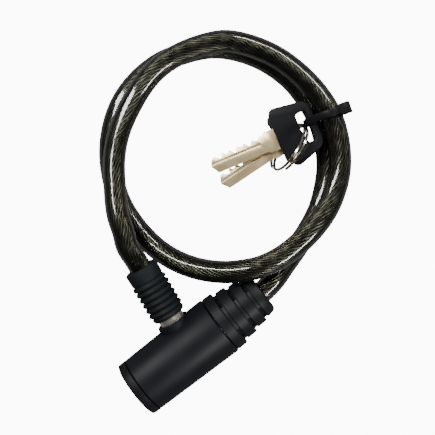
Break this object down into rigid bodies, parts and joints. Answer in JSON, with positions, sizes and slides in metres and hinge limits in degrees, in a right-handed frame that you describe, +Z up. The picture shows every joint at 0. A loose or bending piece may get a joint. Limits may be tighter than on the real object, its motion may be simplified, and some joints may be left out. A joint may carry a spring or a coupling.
{
  "type": "cable lock",
  "caption": "Coiled steel cable in a smoke-tinted sleeve whose plug locks into the side of a round keyed lock body, with keys on a split ring.",
  "frame": {"origin": "bottom centre of the lock body, which lies on its side on the floor", "axes": "+X along the lock body from the key end to the cable end, +Y towards the side where the plug enters, +Z up"},
  "size_m": [0.1527, 0.1289, 0.028],
  "materials": {
    "barrel_plastic": "satin black moulded plastic",
    "cap_plastic": "satin black plastic",
    "relief_rubber": "flexible black plastic",
    "boot_rubber": "matte black rubber",
    "zinc": "die-cast zinc",
    "brass": "machined brass",
    "steel": "plain steel",
    "chrome": "bright plated steel",
    "smoke_vinyl": "clear smoke-tinted soft vinyl",
    "wire_rope": "stranded steel wire",
    "tie_nylon": "black nylon",
    "key_metal": "nickel-plated brass, pale gold",
    "key_head_plastic": "satin black plastic"
  },
  "bodies": {
    "lock_body": {"barrel_shell": "barrel_plastic", "end_cap": "cap_plastic", "lock_housing": "zinc", "cable_relief": "relief_rubber", "anchor_crimp": "steel", "anchor_screw": "steel", "core_retainer": "steel", "cable_sleeve": "smoke_vinyl", "cable_core": "wire_rope", "cable_tie": "tie_nylon"},
    "core": {"lock_core": "brass", "wafer_1": "brass", "wafer_2": "brass", "wafer_3": "brass", "wafer_4": "brass", "wafer_5": "brass"},
    "bolt": {"lock_bolt": "steel"},
    "plug": {"lock_pin": "chrome", "pin_ferrule": "chrome", "plug_boot": "boot_rubber"},
    "key_ring": {"split_ring": "chrome"},
    "key_1": {"key_1_head": "key_head_plastic", "key_1_blade": "key_metal"},
    "key_2": {"key_2_head": "key_head_plastic", "key_2_blade": "key_metal"}
  },
  "joints": [
    {"name": "core_turn", "type": "hinge", "parent": "lock_body", "child": "core", "pos_m": [-0.03515, -0.00095, 0.014], "axis": [-1, 0, 0], "range_deg": [0, 90]},
    {"name": "bolt_slide", "type": "slide", "parent": "lock_body", "child": "bolt", "axis": [0, 0.1392, -0.9903], "range_m": [0, 0.00283]},
    {"name": "plug_slide", "type": "slide", "parent": "lock_body", "child": "plug", "axis": [0.1219, 0.9829, 0.1381], "range_m": [0, 0.024], "deforming": ["cable_sleeve", "cable_core"]},
    {"name": "ring_swing", "type": "hinge", "parent": "lock_body", "child": "key_ring", "pos_m": [0.0974, 0.0466, 0.0138], "axis": [0, 0, 1], "range_deg": [-3, 3]},
    {"name": "key_1_fan", "type": "hinge", "parent": "key_ring", "child": "key_1", "pos_m": [0.09534, 0.0466, 0.0138], "axis": [-0.1201, 0.0207, 0.9925], "range_deg": [-3, 3]},
    {"name": "key_2_fan", "type": "hinge", "parent": "key_ring", "child": "key_2", "pos_m": [0.09534, 0.0466, 0.0138], "axis": [-0.1201, 0.0207, 0.9925], "range_deg": [-3, 0]}
  ],
  "couplings": [
    {"joint": "core_turn", "follows": "bolt_slide", "rad_per_m": 555.6}
  ]
}
